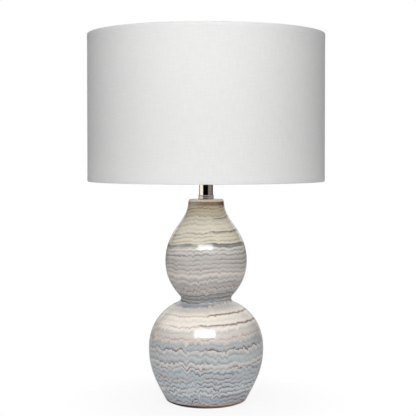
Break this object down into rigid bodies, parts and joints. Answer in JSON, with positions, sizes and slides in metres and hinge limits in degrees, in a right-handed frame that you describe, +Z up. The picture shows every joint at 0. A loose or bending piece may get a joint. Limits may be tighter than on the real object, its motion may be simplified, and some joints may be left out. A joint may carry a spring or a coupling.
{
  "type": "double gourd table lamp",
  "caption": "Table lamp with a glazed double gourd body, a polished metal neck and a wide straight drum shade held by a harp and finial.",
  "frame": {"origin": "centre of the foot's underside, on the surface that the lamp stands on", "axes": "+Z up along the lamp's axis, -Y to the front, where the switch knob points, +Y to the cord inlet at the back, +X to the right seen from the front"},
  "size_m": [0.4317, 0.4318, 0.6733],
  "materials": {
    "felt": "dense pressed felt",
    "glaze": "glossy layered reactive glaze in grey-blue, cream and brown",
    "nickel": "polished nickel plate",
    "zinc_steel": "zinc plated",
    "brass": "bright pressed brass",
    "nylon": "natural moulded nylon",
    "phenolic": "black moulded phenolic",
    "fibre_board": "insulating fibre board",
    "bulb_glass": "soft white coating inside",
    "stem_glass": "clear",
    "cap_metal": "rolled, satin",
    "black_glass": "black, gloss",
    "tungsten": "drawn wire",
    "linen": "plain weave white linen blend",
    "styrene": "white satin sheet",
    "frame_wire": "white powder coat"
  },
  "bodies": {
    "base": {"felt_pad": "felt", "gourd_body": "glaze", "cord_bushing": "nylon", "base_plate": "zinc_steel", "lock_washer": "zinc_steel", "base_nut": "zinc_steel", "lamp_rod": "zinc_steel", "rod_end_bushing": "nylon", "neck_ferrule": "nickel", "neck_tube": "nickel", "tube_cap": "nickel", "harp_saddle": "nickel", "saddle_nut": "zinc_steel", "socket_cap": "nickel", "socket_set_screw": "zinc_steel", "socket_shell": "nickel", "socket_liner": "fibre_board", "switch_block": "phenolic", "terminal_screws": "brass", "screw_shell": "brass", "centre_contact": "brass"},
    "switch": {"switch_spindle": "brass", "switch_knob": "phenolic"},
    "bulb": {"bulb_contact": "brass", "bulb_insulator": "black_glass", "bulb_cap": "cap_metal", "bulb_glass": "bulb_glass", "bulb_stem": "stem_glass", "bulb_filament": "tungsten"},
    "harp": {"harp_bow": "nickel"},
    "left_sleeve": {"harp_sleeve_left": "nickel"},
    "right_sleeve": {"harp_sleeve_right": "nickel"},
    "swivel": {"harp_stud": "nickel"},
    "shade": {"spider_hub": "frame_wire", "spider_arms": "frame_wire", "shade_top_ring": "frame_wire", "shade_bottom_ring": "frame_wire", "shade_liner": "styrene", "shade_fabric": "linen"},
    "finial": {"finial": "nickel"}
  },
  "joints": [
    {"name": "switch_turn", "type": "hinge", "parent": "base", "child": "switch", "pos_m": [0, -0.034, 0.4524], "axis": [0, -1, 0], "continuous": true},
    {"name": "bulb_lift", "type": "slide", "parent": "base", "child": "bulb", "axis": [0, 0, 1], "range_m": [0, 0.03]},
    {"name": "harp_lift", "type": "slide", "parent": "base", "child": "harp", "axis": [0, 0, 1], "range_m": [0, 0.02]},
    {"name": "left_sleeve_lift", "type": "slide", "parent": "harp", "child": "left_sleeve", "axis": [0, 0, 1], "range_m": [0, 0.014]},
    {"name": "right_sleeve_lift", "type": "slide", "parent": "harp", "child": "right_sleeve", "axis": [0, 0, 1], "range_m": [0, 0.014]},
    {"name": "shade_turn", "type": "hinge", "parent": "harp", "child": "swivel", "pos_m": [0, 0, 0.6555], "axis": [0, 0, 1], "continuous": true},
    {"name": "shade_lift", "type": "slide", "parent": "swivel", "child": "shade", "axis": [0, 0, 1], "range_m": [0, 0.25]},
    {"name": "finial_lift", "type": "slide", "parent": "shade", "child": "finial", "axis": [0, 0, 1], "range_m": [0, 0.02]}
  ]
}
